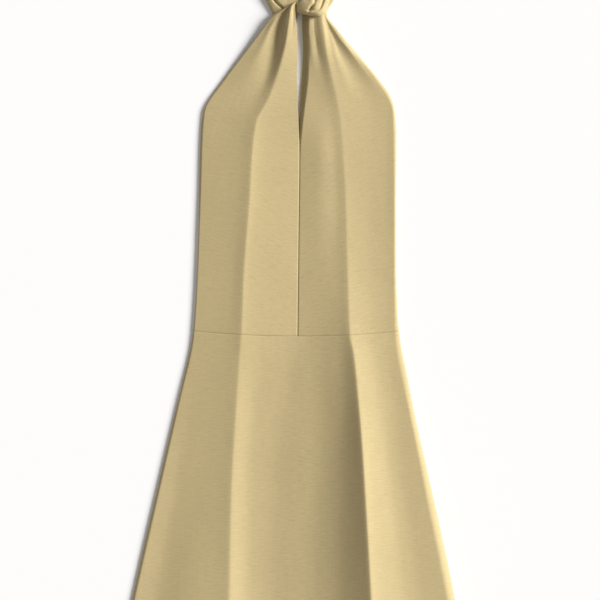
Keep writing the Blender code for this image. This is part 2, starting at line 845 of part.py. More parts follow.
def strap_profile(side):
    """Share of the strap's thickness at a place from its inner edge, -1, to its outer, 1."""
    dome = max(1 - abs(side) ** 2.6, 0.0) ** 0.45
    away = (side - STRAP_CREASE_AT) / STRAP_CREASE_HALF_WIDTH
    return dome * (1 - STRAP_CREASE_DEPTH * math.exp(-(away**2)))


def strap_section(curves, distance, lowest):
    """One ring of a strap: its gathered top from edge to edge, then its underside."""
    inner_x, inner_y, outer_x, outer_y, bottom, depth = (curve(distance) for curve in curves)
    ring = []
    for i in range(STRAP_TOP_STEPS + 1):
        side = -math.cos(math.pi * i / STRAP_TOP_STEPS)
        dome = strap_profile(side)
        waves = STRAP_GATHER_DEPTH * math.sin(STRAP_GATHERS * math.pi * side)
        thickness = depth * (STRAP_EDGE_SHARE + (1 - STRAP_EDGE_SHARE) * dome)
        ring.append((side, bottom + thickness + waves * dome))
    for i in range(1, STRAP_BOTTOM_STEPS):
        side = math.cos(math.pi * i / STRAP_BOTTOM_STEPS)
        ring.append((STRAP_UNDERSIDE_SHARE * side, bottom))
    points = []
    for side, height in ring:
        share = (1 + side) / 2
        x = inner_x + (outer_x - inner_x) * share
        y = inner_y + (outer_y - inner_y) * share
        points.append((x, y, max(height, lowest(x, y))))
    return points


def gathers_below(x, y):
    """Height that clears the right front's gathers near a point under the strap."""
    start, end = BODICE_RIGHT_LINES[0].across, BODICE_RIGHT_LINES[-1].across
    highest = 0.0
    for level in (y - GATHER_REACH, y, y + GATHER_REACH):
        if level > KNOT_LEVELS_RIGHT[-1] + GATHER_REACH:
            continue
        for across in (x - GATHER_REACH, x, x + GATHER_REACH):
            if start(level) - GATHER_REACH < across < end(level) + GATHER_REACH:
                height = bent_height(across, level, BODICE_RIGHT_LINES[:-1])
                highest = max(highest, height + STRAP_OVER_CLOTH)
    return highest


def add_strap(name, rows, lowest, collection):
    """A gathered neck strap as one closed body of rings along its path."""
    curves, total = path_curves(rows)
    end = total - SEAM_GAP
    rings = [
        strap_section(curves, end * i / (STRAP_RINGS - 1), lowest) for i in range(STRAP_RINGS)
    ]
    around = len(rings[0])
    points = [point for ring in rings for point in ring]
    faces = []
    for i in range(STRAP_RINGS - 1):
        for j in range(around):
            a, b = i * around + j, i * around + (j + 1) % around
            faces.append((a, b, b + around, a + around))
    faces.append(tuple(range(around)))
    faces.append(tuple((STRAP_RINGS - 1) * around + j for j in range(around)))
    return add_object(name, points, faces, CLOTH_COLOUR, collection)


def build():
    for old in list(bpy.data.objects):
        bpy.data.objects.remove(old)
    collection = bpy.data.collections.new("halter_dress")
    bpy.context.scene.collection.children.link(collection)
    back_bodice(collection)
    back_skirt(collection)
    front_left(collection)
    front_right(collection)
    front_skirt(collection)
    add_strap("neck_strap_left", STRAP_LEFT, lambda x, y: 0.0, collection)
    add_strap("neck_strap_right", STRAP_RIGHT, gathers_below, collection)


build()
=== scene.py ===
"""Looks of a halter dress that lies flat on its back: folded cloth panels, gathers and a knot.

Laid out as an add-on and run as a script. Every piece lies on the solid of the same name, from
the same fold lines. Sizes are in metres, with the neck towards +Y and the floor at z = 0.
"""

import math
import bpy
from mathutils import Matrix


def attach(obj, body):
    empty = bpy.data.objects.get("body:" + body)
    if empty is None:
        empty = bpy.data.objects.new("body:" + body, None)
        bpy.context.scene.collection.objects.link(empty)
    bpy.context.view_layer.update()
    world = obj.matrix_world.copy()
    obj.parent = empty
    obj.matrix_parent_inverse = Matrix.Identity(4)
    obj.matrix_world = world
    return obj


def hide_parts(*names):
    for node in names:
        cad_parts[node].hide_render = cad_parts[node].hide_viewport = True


bl_info = {
    "name": "Halter dress, laid flat",
    "version": (1, 0, 0),
    "blender": (4, 5, 0),
    "location": "3D View > Sidebar > Dress",
    "description": "Dresses the packed model of a knotted halter dress in a slubbed plain weave",
    "category": "Object",
}

from collections import namedtuple

import bpy
import numpy as np
from bpy.props import FloatProperty, FloatVectorProperty, PointerProperty
from bpy.types import Operator, Panel, PropertyGroup
from mathutils import Vector

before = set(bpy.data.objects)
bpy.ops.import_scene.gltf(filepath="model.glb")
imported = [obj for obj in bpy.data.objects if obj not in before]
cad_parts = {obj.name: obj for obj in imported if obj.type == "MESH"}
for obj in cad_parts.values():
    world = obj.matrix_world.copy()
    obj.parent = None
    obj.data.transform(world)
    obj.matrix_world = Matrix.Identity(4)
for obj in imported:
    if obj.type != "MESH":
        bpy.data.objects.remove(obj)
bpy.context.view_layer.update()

SEAM_GAP = 0.0003  # between two pieces that are sewn together
BACK_INSET = 0.0026  # the back lies this far inside the outline, within the rolled side
UNDERARM_LEVEL = 0.334
BACK_TOP_DIP = 0.008  # how far the back's top edge dips at its middle
BACK_TOP_HALF_WIDTH = 0.195
WAIST_LEVEL = -0.111
WAIST_RISE = 0.010  # how far the waist seam rises at a side
WAIST_HALF_WIDTH = 0.207
WAIST_MIDDLE = 0.010
WAIST_BLEND_LEVEL = 0.110  # above it the rows of the bodice are straight
GATHERED_LEVEL = 0.400  # above it the rows lie close together, for the gathers
HEM_LEVEL = -0.731
HEM_RADIUS = 1.64  # of the arc that the flared hem is cut to
NAPE_ACROSS = 0.015
LEFT_TOP_LEVEL = 0.5535
RIGHT_TOP_LEVEL = 0.605

Fold = namedtuple("Fold", "level across height")
Crease = namedtuple("Crease", "level height left_reach right_reach")
Strap = namedtuple("Strap", "inner_across inner_level outer_across outer_level bottom depth")
Wrinkle = namedtuple("Wrinkle", "level across width height")
Dent = namedtuple("Dent", "across level turn length width depth")
StrapFold = namedtuple("StrapFold", "distance side width depth")


def rows_of(kind, *rows):
    """Rows of a table, each with that kind's named columns."""
    return [kind(*row) for row in rows]


# The outline and the fold lines, as the solids have them.
SIDE_LEFT = rows_of(
    Fold,
    (0.554, 0.004, 0.0124),
    (0.548, -0.006, 0.012),
    (0.540, -0.021, 0.0115),
    (0.533, -0.034, 0.0106),
    (0.527, -0.041, 0.010),
    (0.517, -0.048, 0.0092),
    (0.501, -0.061, 0.008),
    (0.481, -0.076, 0.0066),
    (0.441, -0.107, 0.004),
    (0.401, -0.138, 0.0016),
    (0.368, -0.163, 0.0),
    (0.351, -0.173, 0.0),
    (0.334, -0.179, 0.0),
    (0.301, -0.183, 0.0),
    (0.201, -0.186, 0.0),
    (0.081, -0.188, 0.0),
    (-0.019, -0.192, 0.0),
    (-0.079, -0.196, 0.0),
    (-0.129, -0.203, 0.0),
    (-0.179, -0.214, 0.0),
    (-0.279, -0.238, 0.0),
    (-0.399, -0.266, 0.0),
    (-0.559, -0.303, 0.0),
    (-0.731, -0.341, 0.0),
)
SIDE_RIGHT = rows_of(
    Fold,
    (0.605, 0.084, 0.0),
    (0.590, 0.091, 0.0),
    (0.575, 0.090, 0.0),
    (0.561, 0.083, 0.0),
    (0.545, 0.073, 0.0),
    (0.534, 0.0690, 0.0),
    (0.527, 0.070, 0.0),
    (0.517, 0.078, 0.0),
    (0.501, 0.090, 0.0),
    (0.481, 0.106, 0.0),
    (0.441, 0.140, 0.0),
    (0.401, 0.173, 0.0),
    (0.371, 0.194, 0.0),
    (0.351, 0.202, 0.0),
    (0.334, 0.205, 0.0),
    (0.281, 0.208, 0.0),
    (0.161, 0.207, 0.0),
    (0.041, 0.207, 0.0),
    (-0.079, 0.211, 0.0),
    (-0.129, 0.217, 0.0),
    (-0.179, 0.227, 0.0),
    (-0.279, 0.247, 0.0),
    (-0.399, 0.274, 0.0),
    (-0.519, 0.301, 0.0),
    (-0.731, 0.344, 0.0),
)

# Lines that the left front bends along. In the skirt they run on to the hem.
ROLL_LEFT = rows_of(
    Fold,
    (0.554, 0.0048, 0.0165),
    (0.540, -0.018, 0.0165),
    (0.527, -0.038, 0.0142),
    (0.501, -0.058, 0.0118),
    (0.461, -0.088, 0.009),
    (0.401, -0.1335, 0.0064),
    (0.334, -0.1752, 0.0056),
    (0.161, -0.183, 0.0056),
    (-0.111, -0.1965, 0.0056),
    (-0.239, -0.224, 0.006),
    (-0.439, -0.269, 0.0066),
    (-0.731, -0.335, 0.0068),
)
OUTER_LEFT = rows_of(
    Fold,
    (0.554, 0.0054, 0.0175),
    (0.540, -0.0135, 0.019),
    (0.527, -0.031, 0.017),
    (0.501, -0.041, 0.0146),
    (0.481, -0.049, 0.0136),
    (0.441, -0.067, 0.0122),
    (0.401, -0.088, 0.0106),
    (0.361, -0.112, 0.0092),
    (0.321, -0.132, 0.0084),
    (0.261, -0.140, 0.0084),
    (-0.111, -0.155, 0.0086),
    (-0.239, -0.200, 0.0072),
    (-0.339, -0.224, 0.0064),
    (-0.439, -0.240, 0.0058),
    (-0.559, -0.262, 0.0054),
    (-0.731, -0.290, 0.0054),
)
VALLEY_LEFT = rows_of(
    Fold,
    (0.554, 0.006, 0.018),
    (0.545, -0.0062, 0.016),
    (0.534, -0.012, 0.011),
    (0.521, -0.017, 0.0082),
    (0.501, -0.0225, 0.0046),
    (0.481, -0.0275, 0.005),
    (0.441, -0.038, 0.0064),
    (0.401, -0.051, 0.0084),
    (0.361, -0.070, 0.0106),
    (0.321, -0.091, 0.0114),
    (0.261, -0.100, 0.0114),
    (-0.111, -0.127, 0.0108),
    (-0.239, -0.154, 0.0108),
    (-0.439, -0.170, 0.0130),
    (-0.559, -0.193, 0.0146),
    (-0.731, -0.212, 0.0160),
)
RIDGE_LEFT = rows_of(
    Fold,
    (0.554, 0.0066, 0.019),
    (0.548, -0.0005, 0.024),
    (0.541, -0.004, 0.027),
    (0.527, -0.0075, 0.028),
    (0.501, -0.011, 0.0265),
    (0.481, -0.0135, 0.024),
    (0.441, -0.022, 0.0195),
    (0.401, -0.034, 0.0165),
    (0.361, -0.049, 0.0148),
    (0.341, -0.060, 0.0142),
    (0.321, -0.071, 0.0138),
    (0.261, -0.080, 0.0136),
    (0.161, -0.086, 0.0136),
    (0.001, -0.098, 0.0134),
    (-0.111, -0.102, 0.0134),
    (-0.159, -0.106, 0.0138),
    (-0.239, -0.111, 0.015),
    (-0.439, -0.122, 0.0174),
    (-0.559, -0.1245, 0.0198),
    (-0.731, -0.127, 0.0220),
)
FOOT_LEFT = rows_of(
    Fold,
    (-0.111, -0.055, 0.0092),
    (-0.239, -0.080, 0.0088),
    (-0.439, -0.092, 0.0092),
    (-0.731, -0.094, 0.0116),
)

# The edges of the front slit, which meet in the seam down the middle of the bodice. On the right
# the cloth folds down and under itself, so that its edge lies near the floor.
SLIT_LEFT = rows_of(
    Fold,
    (0.554, 0.0074, 0.0180),
    (0.545, 0.0056, 0.0215),
    (0.521, 0.0062, 0.0225),
    (0.501, 0.009, 0.0195),
    (0.461, 0.010, 0.0140),
    (0.411, 0.009, 0.0105),
    (0.351, 0.011, 0.0088),
    (0.300, 0.0131, 0.0074),
    (0.268, 0.014, 0.0058),
    (0.250, 0.014, 0.0050),
    (0.161, 0.013, 0.0048),
    (-0.111, 0.010, 0.0056),
)
TURN_RIGHT = rows_of(
    Fold,
    (0.605, 0.062, 0.0020),
    (0.575, 0.053, 0.0020),
    (0.555, 0.036, 0.0020),
    (0.540, 0.022, 0.0018),
    (0.521, 0.019, 0.0016),
    (0.461, 0.021, 0.0016),
    (0.411, 0.0185, 0.0016),
    (0.371, 0.0155, 0.0018),
    (0.341, 0.0150, 0.0032),
    (0.300, 0.0145, 0.0040),
    (0.268, 0.014, 0.0048),
    (0.250, 0.014, 0.0044),
    (0.161, 0.013, 0.0042),
    (-0.111, 0.010, 0.0050),
)
UNDER_RIGHT = rows_of(
    Fold,
    (0.605, 0.0633, 0.0026),
    (0.575, 0.0562, 0.0032),
    (0.555, 0.041, 0.0035),
    (0.540, 0.030, 0.0030),
    (0.521, 0.0278, 0.0024),
    (0.461, 0.0286, 0.0022),
    (0.411, 0.0272, 0.0022),
    (0.371, 0.0236, 0.0026),
    (0.341, 0.0202, 0.0034),
    (0.300, 0.0170, 0.0044),
    (0.268, 0.0152, 0.0049),
    (0.250, 0.0151, 0.0047),
    (0.161, 0.0141, 0.0045),
    (-0.111, 0.0111, 0.0053),
)
SLIT_RIGHT = rows_of(
    Fold,
    (0.605, 0.064, 0.0030),
    (0.575, 0.058, 0.0050),
    (0.555, 0.044, 0.0075),
    (0.540, 0.033, 0.0105),
    (0.521, 0.031, 0.0135),
    (0.501, 0.031, 0.0140),
    (0.461, 0.032, 0.0120),
    (0.411, 0.031, 0.0110),
    (0.381, 0.028, 0.0104),
    (0.351, 0.024, 0.0098),
    (0.312, 0.0195, 0.0088),
    (0.268, 0.0162, 0.0060),
    (0.250, 0.0160, 0.0050),
    (0.161, 0.0150, 0.0048),
    (-0.111, 0.0120, 0.0056),
)
CENTRE_SKIRT = rows_of(
    Fold,
    (-0.111, 0.005, 0.0056),
    (-0.239, -0.020, 0.0062),
    (-0.439, -0.045, 0.0068),
    (-0.731, -0.052, 0.0076),
)

# Lines that the right front bends along.
INNER_RIGHT = rows_of(
    Fold,
    (0.605, 0.067, 0.0034),
    (0.575, 0.062, 0.0056),
    (0.555, 0.048, 0.009),
    (0.540, 0.0375, 0.013),
    (0.521, 0.0345, 0.0152),
    (0.501, 0.0348, 0.0150),
    (0.461, 0.0375, 0.0142),
    (0.411, 0.046, 0.012),
    (0.341, 0.058, 0.0102),
    (0.261, 0.060, 0.0096),
    (0.161, 0.059, 0.0088),
    (0.041, 0.058, 0.008),
    (-0.059, 0.056, 0.008),
    (-0.111, 0.048, 0.008),
    (-0.139, 0.048, 0.0086),
    (-0.239, 0.056, 0.0110),
    (-0.339, 0.057, 0.0122),
    (-0.439, 0.050, 0.0128),
    (-0.559, 0.042, 0.0130),
    (-0.731, 0.034, 0.0130),
)
DIP_RIGHT = rows_of(
    Fold,
    (0.605, 0.070, 0.0036),
    (0.575, 0.066, 0.0058),
    (0.555, 0.055, 0.0092),
    (0.540, 0.0440, 0.0126),
    (0.521, 0.0420, 0.0142),
    (0.501, 0.0425, 0.0146),
    (0.481, 0.0460, 0.0140),
    (0.441, 0.0540, 0.0130),
    (0.401, 0.062, 0.0128),
    (0.361, 0.073, 0.0116),
    (0.321, 0.079, 0.0096),
    (0.261, 0.084, 0.0073),
    (0.161, 0.088, 0.0071),
    (0.041, 0.090, 0.0087),
    (-0.059, 0.093, 0.012),
    (-0.111, 0.096, 0.0142),
    (-0.139, 0.098, 0.0156),
    (-0.239, 0.105, 0.0204),
    (-0.339, 0.102, 0.0212),
    (-0.439, 0.098, 0.0220),
    (-0.559, 0.094, 0.0216),
    (-0.731, 0.092, 0.0216),
)
RIDGE_RIGHT = rows_of(
    Fold,
    (0.605, 0.073, 0.0038),
    (0.575, 0.073, 0.0062),
    (0.555, 0.064, 0.0098),
    (0.540, 0.057, 0.014),
    (0.527, 0.058, 0.0185),
    (0.501, 0.0620, 0.0210),
    (0.461, 0.0665, 0.0198),
    (0.411, 0.0760, 0.0170),
    (0.361, 0.088, 0.0134),
    (0.321, 0.095, 0.0106),
    (0.261, 0.100, 0.0084),
    (0.161, 0.106, 0.0085),
    (0.041, 0.109, 0.0106),
    (-0.059, 0.112, 0.0146),
    (-0.111, 0.1145, 0.018),
    (-0.139, 0.1205, 0.0214),
    (-0.239, 0.131, 0.0296),
    (-0.339, 0.139, 0.0360),
    (-0.439, 0.145, 0.0396),
    (-0.559, 0.152, 0.0416),
    (-0.731, 0.161, 0.0430),
)
FLANK_RIGHT = rows_of(
    Fold,
    (0.605, 0.076, 0.0037),
    (0.575, 0.079, 0.006),
    (0.555, 0.0705, 0.009),
    (0.540, 0.0625, 0.0115),
    (0.527, 0.0645, 0.014),
    (0.501, 0.0720, 0.0105),
    (0.481, 0.0810, 0.0088),
    (0.461, 0.0915, 0.0080),
    (0.431, 0.112, 0.008),
    (0.401, 0.130, 0.0074),
    (0.371, 0.148, 0.0064),
    (0.321, 0.158, 0.0052),
    (0.161, 0.158, 0.0046),
    (0.041, 0.158, 0.0056),
    (-0.059, 0.158, 0.0074),
    (-0.111, 0.159, 0.009),
    (-0.139, 0.162, 0.0104),
    (-0.239, 0.175, 0.0148),
    (-0.339, 0.187, 0.0178),
    (-0.439, 0.199, 0.0214),
    (-0.559, 0.212, 0.0230),
    (-0.731, 0.230, 0.0240),
)
OUTER_RIGHT = rows_of(
    Fold,
    (0.605, 0.078, 0.0034),
    (0.575, 0.083, 0.0055),
    (0.555, 0.0745, 0.008),
    (0.540, 0.065, 0.0105),
    (0.527, 0.0672, 0.0135),
    (0.501, 0.0820, 0.0150),
    (0.481, 0.0955, 0.0148),
    (0.461, 0.112, 0.0138),
    (0.431, 0.134, 0.0112),
    (0.401, 0.157, 0.0086),
    (0.371, 0.176, 0.0064),
    (0.321, 0.188, 0.0046),
    (0.161, 0.188, 0.0042),
    (0.041, 0.188, 0.0048),
    (-0.111, 0.190, 0.0068),
    (-0.139, 0.190, 0.008),
    (-0.239, 0.202, 0.0116),
    (-0.339, 0.213, 0.0150),
    (-0.439, 0.224, 0.0184),
    (-0.559, 0.242, 0.0196),
    (-0.731, 0.266, 0.0204),
)
ROLL_RIGHT = rows_of(
    Fold,
    (0.605, 0.080, 0.003),
    (0.575, 0.086, 0.0048),
    (0.555, 0.0775, 0.0068),
    (0.540, 0.0668, 0.009),
    (0.527, 0.0684, 0.012),
    (0.501, 0.0865, 0.0135),
    (0.461, 0.116, 0.0115),
    (0.401, 0.166, 0.0076),
    (0.334, 0.200, 0.0052),
    (0.161, 0.2025, 0.0050),
    (0.041, 0.2025, 0.0052),
    (-0.111, 0.204, 0.0066),
    (-0.139, 0.207, 0.0078),
    (-0.239, 0.227, 0.0120),
    (-0.339, 0.248, 0.0156),
    (-0.439, 0.267, 0.0188),
    (-0.559, 0.292, 0.0200),
    (-0.731, 0.324, 0.0206),
)

# The pressed creases that sharpen the two long ridges: how high each stands, and how far it
# reaches on either side.
CREASE_LEFT = rows_of(
    Crease,
    (0.400, 0.0, 0.020, 0.014),
    (0.320, 0.0024, 0.026, 0.014),
    (0.260, 0.0028, 0.030, 0.014),
    (-0.080, 0.0026, 0.030, 0.016),
    (-0.159, 0.0016, 0.026, 0.016),
    (-0.731, 0.0016, 0.026, 0.014),
)
CREASE_RIGHT = rows_of(
    Crease,
    (0.400, 0.0, 0.040, 0.024),
    (0.260, 0.0014, 0.040, 0.018),
    (0.041, 0.0024, 0.040, 0.018),
    (-0.111, 0.0028, 0.030, 0.018),
    (-0.239, 0.0036, 0.034, 0.014),
    (-0.439, 0.0048, 0.036, 0.012),
    (-0.731, 0.0050, 0.036, 0.012),
)
NAPE_ROW = (NAPE_ACROSS, 0.685, NAPE_ACROSS, 0.731, 0.0, 0.0105)
STRAP_LEFT = rows_of(
    Strap,
    (0.008, 0.522, -0.030, 0.517, 0.0, 0.0080),
    (0.013, 0.540, -0.038, 0.530, 0.0, 0.0090),
    (0.014, 0.556, -0.047, 0.548, 0.0, 0.0110),
    (0.011, 0.573, -0.056, 0.568, 0.0, 0.0130),
    (0.001, 0.600, -0.065, 0.598, 0.0, 0.0140),
    (-0.009, 0.628, -0.069, 0.630, 0.0, 0.0130),
    (-0.013, 0.654, -0.064, 0.665, 0.0, 0.0120),
    (-0.008, 0.674, -0.047, 0.700, 0.0, 0.0115),
    (0.002, 0.683, -0.019, 0.723, 0.0, 0.0110),
    NAPE_ROW,
)
STRAP_RIGHT = rows_of(
    Strap,
    (0.0088, 0.551, 0.0082, 0.534, 0.0135, 0.0085),
    (0.0125, 0.5535, 0.0145, 0.531, 0.0140, 0.0125),
    (0.0205, 0.5570, 0.026, 0.528, 0.0140, 0.0165),
    (0.0290, 0.5585, 0.039, 0.525, 0.0140, 0.0190),
    (0.0330, 0.5605, 0.051, 0.524, 0.0140, 0.0200),
    (0.0350, 0.5640, 0.062, 0.5290, 0.0120, 0.0205),
    (0.0355, 0.5700, 0.068, 0.5400, 0.0090, 0.0205),
    (0.0358, 0.5800, 0.074, 0.5560, 0.0060, 0.0200),
    (0.0368, 0.5940, 0.080, 0.5770, 0.0040, 0.0185),
    (0.0405, 0.6150, 0.0895, 0.6020, 0.0050, 0.0140),
    (0.0450, 0.6380, 0.0980, 0.6350, 0.0, 0.0130),
    (0.0440, 0.6580, 0.0945, 0.6680, 0.0, 0.0120),
    (0.0380, 0.6740, 0.0770, 0.7000, 0.0, 0.0115),
    (0.0280, 0.6830, 0.0490, 0.7230, 0.0, 0.0110),
    NAPE_ROW,
)

# Smaller folds that fan out of the knot and fade, each a line with its width and height.
GATHER_WRINKLES = (
    rows_of(
        Wrinkle,
        (0.500, 0.072, 0.0030, 0.0000),
        (0.481, 0.0785, 0.0036, 0.0016),
        (0.441, 0.090, 0.0050, 0.0022),
        (0.401, 0.105, 0.0060, 0.0016),
        (0.361, 0.119, 0.0080, 0.0000),
    ),
    rows_of(
        Wrinkle,
        (0.530, -0.020, 0.0026, 0.0000),
        (0.515, -0.036, 0.0040, 0.0016),
        (0.471, -0.058, 0.0060, 0.0012),
        (0.421, -0.082, 0.0090, 0.0000),
    ),
    rows_of(
        Wrinkle,
        (0.548, 0.0025, 0.0018, 0.0000),
        (0.535, 0.0020, 0.0020, -0.0016),
        (0.515, 0.0015, 0.0026, -0.0012),
        (0.480, 0.0000, 0.0040, 0.0000),
    ),
    rows_of(
        Wrinkle,
        (0.530, 0.0445, 0.0020, 0.0000),
        (0.515, 0.0440, 0.0024, -0.0014),
        (0.480, 0.0470, 0.0030, -0.0012),
        (0.430, 0.0540, 0.0050, 0.0000),
    ),
)
# The pinched crease in the knot's wrap.
KNOT_DENTS = rows_of(
    Dent,
    (0.0368, 0.5405, 58.0, 0.0075, 0.0026, 0.0075),
    (0.0440, 0.5520, 78.0, 0.0110, 0.0030, 0.0022),
)
# The troughs between the folds of a gathered strap: how far along it from the knot, where across
# it from the inner edge, -1, to the outer, 1, and how wide and deep as shares of the strap.
LEFT_STRAP_FOLDS = (
    rows_of(
        StrapFold,
        (0.000, -0.05, 0.09, 0.40),
        (0.019, 0.10, 0.10, 0.80),
        (0.043, 0.52, 0.09, 0.80),
        (0.080, 0.48, 0.12, 0.55),
        (0.150, 0.34, 0.10, 0.35),
        (0.250, 0.40, 0.10, 0.30),
    ),
    rows_of(
        StrapFold,
        (0.030, -0.20, 0.10, 0.00),
        (0.060, -0.24, 0.12, 0.18),
        (0.120, -0.36, 0.09, 0.34),
        (0.250, -0.30, 0.10, 0.26),
    ),
    rows_of(
        StrapFold,
        (0.070, 0.05, 0.08, 0.00),
        (0.130, 0.02, 0.07, 0.26),
        (0.250, 0.06, 0.08, 0.30),
    ),
)
RIGHT_STRAP_FOLDS = (
    rows_of(
        StrapFold,
        (0.014, 0.34, 0.12, 0.00),
        (0.034, 0.40, 0.13, 0.26),
        (0.056, 0.42, 0.13, 0.40),
        (0.100, 0.30, 0.12, 0.42),
        (0.250, 0.36, 0.10, 0.30),
    ),
    rows_of(
        StrapFold,
        (0.036, -0.40, 0.10, 0.00),
        (0.058, -0.34, 0.12, 0.30),
        (0.110, -0.42, 0.10, 0.36),
        (0.250, -0.36, 0.10, 0.26),
    ),
    rows_of(
        StrapFold,
        (0.085, -0.04, 0.08, 0.00),
        (0.140, -0.02, 0.08, 0.28),
        (0.250, 0.02, 0.08, 0.30),
    ),
)

# How far each side of a line the cloth turns through its bend.
BEND_TIGHT = 0.0015
BEND_SHARP = 0.004
BEND_SOFT = 0.022
CREASE_ROUNDING = 0.0012

BACK_POINTS = 81  # of a back panel, along and across
BODICE_SAMPLE_LEVEL = 0.1  # where the widths that set a panel's points are read
SKIRT_SAMPLE_LEVEL = -0.4
SKIRT_ROWS_BY_SEAM = (0.0, 0.0011, 0.0026, 0.0048)  # shares of the skirt's length
GRAIN_SLANT = 16.0  # degrees that the threads of each front lean with its gathers
MIDDLE_SEAM_LEVEL = 0.300  # where the middle seam starts, at the foot of the slit
MIDDLE_SEAM_FADE = 0.030  # how far below that its dip is full
HEM_TURN_HEIGHT = 0.0004  # how far the turned hem stands up
HEM_TURN_SOFTNESS = 0.0012
SETTLE_STEPS = 5  # rounds in which a row's level and its points' places are settled together
STATION_CROWDING = 0.75  # how much closer the points lie beside a line, from 0 to 1
ROWS_BY_SEAM = (0.0, 0.0007, 0.0016, 0.003)  # distances from a seam

# A neck strap's section.
STRAP_EDGE_SHARE = 0.35  # of the thickness, at either edge
STRAP_UNDERSIDE_SHARE = 0.92  # of the width
STRAP_RINGS = 150
STRAP_TOP_STEPS = 80
STRAP_BOTTOM_STEPS = 20
DOME_POWER = 2.6  # the dome is (1 - side to this power) to the root below
DOME_ROOT = 0.45
GATHER_REACH = 0.003  # how far round a point of the strap the gathers are cleared
STRAP_OVER_CLOTH = 0.0005
STRAP_TOP_OVER_CLOTH = 0.0008  # the least thickness of the strap over the gathers

# The stage.
VIEW_CENTRE = (0.015, -0.039)
FLOOR_HALF_WIDTH = 6.0
FLOOR_DROP = 0.0002  # how far the floor lies under the dress
KEY_TOWARDS_NECK = 0.22


def linear_colour(hex_colour):
    """Linear red, green and blue of an sRGB hex colour."""
    shares = [int(hex_colour[i : i + 2], 16) / 255 for i in (0, 2, 4)]
    return [s / 12.92 if s <= 0.04045 else ((s + 0.055) / 1.055) ** 2.4 for s in shares]


class ClothSettings(PropertyGroup):
    """Sizes and colours of the cloth."""

    thickness: FloatProperty(
        name="Cloth thickness",
        description="Thickness of a panel's cloth",
        default=0.0011,
        unit="LENGTH",
    )
    facet: FloatProperty(
        name="Facet size",
        description="Spacing of the points of a panel away from its folds",
        default=0.0045,
        unit="LENGTH",
    )
    seam_depth: FloatProperty(
        name="Seam depth",
        description="How far the cloth dips into a seam",
        default=0.0006,
        unit="LENGTH",
    )
    seam_reach: FloatProperty(
        name="Seam reach",
        description="How far from a seam the cloth starts to dip",
        default=0.0012,
        unit="LENGTH",
    )
    hem_depth: FloatProperty(
        name="Hem depth",
        description="Width of the turned hem",
        default=0.028,
        unit="LENGTH",
    )
    colour: FloatVectorProperty(
        name="Cloth colour",
        description="Main colour of the yarn",
        default=linear_colour("C1AE80"),
        size=3,
        subtype="COLOR",
    )
    light_slub: FloatVectorProperty(
        name="Light slubs",
        description="Colour of the paler thick places in the yarn",
        default=linear_colour("C6B386"),
        size=3,
        subtype="COLOR",
    )
    dark_slub: FloatVectorProperty(
        name="Dark slubs",
        description="Colour of the darker thick places in the yarn",
        default=linear_colour("BAA679"),
        size=3,
        subtype="COLOR",
    )


class StageSettings(PropertyGroup):
    """Sizes, colours and strengths of the floor, the lights and the camera."""

    floor_colour: FloatVectorProperty(
        name="Floor colour",
        description="Colour of the studio floor",
        default=linear_colour("F8F7F6"),
        size=3,
        subtype="COLOR",
    )
    key_strength: FloatProperty(
        name="Key light",
        description="Strength of the soft light from the right",
        default=5.18,
    )
    key_height: FloatProperty(
        name="Key light's height",
        description="Angle of the key light above the floor",
        default=math.radians(27),
        subtype="ANGLE",
    )
    key_softness: FloatProperty(
        name="Key light's softness",
        description="Angle that the key light's source spans",
        default=math.radians(24),
        subtype="ANGLE",
    )
    fill_strength: FloatProperty(
        name="Fill light",
        description="Strength of the even light from all round",
        default=0.325,
    )
    camera_height: FloatProperty(
        name="Camera height",
        description="Height of the camera above the floor",
        default=3.5,
        unit="LENGTH",
    )
    view_width: FloatProperty(
        name="View width",
        description="Width of floor that the picture covers",
        default=1.2,
        unit="LENGTH",
    )


def slopes_through(at, values):
    """Slopes of a smooth curve through the rows that never overshoots them."""
    step = np.diff(at)
    slope = np.diff(values) / step
    result = np.zeros(len(at))
    for i in range(1, len(at) - 1):
        before, after = slope[i - 1], slope[i]
        if before * after > 0:
            weight_before = 2 * step[i] + step[i - 1]
            weight_after = step[i] + 2 * step[i - 1]
            total = weight_before + weight_after
            result[i] = total / (weight_before / before + weight_after / after)
    result[0], result[-1] = slope[0], slope[-1]
    return result


def column_curve(rows, key, column):
    """A smooth function, over arrays, of one column of a table against another column."""
    rows = sorted(rows, key=lambda row: getattr(row, key))
    at = np.array([getattr(row, key) for row in rows])
    values = np.array([getattr(row, column) for row in rows])
    slopes = slopes_through(at, values)

    def curve(places):
        places = np.clip(places, at[0], at[-1])
        i = np.clip(np.searchsorted(at, places) - 1, 0, len(at) - 2)
        span = at[i + 1] - at[i]
        t = (places - at[i]) / span
        start, end = values[i], values[i + 1]
        leave, arrive = slopes[i] * span, slopes[i + 1] * span
        cubic = 2 * start - 2 * end + leave + arrive
        square = -3 * start + 3 * end - 2 * leave - arrive
        return ((cubic * t + square) * t + leave) * t + start

    return curve


class Line:
    """A fold or an edge that runs the length of the dress."""

    def __init__(self, rows, bend, shift=0.0):
        across = column_curve(rows, "level", "across")
        self.across = lambda level: across(level) + shift
        self.height = column_curve(rows, "level", "height")
        self.bend = bend


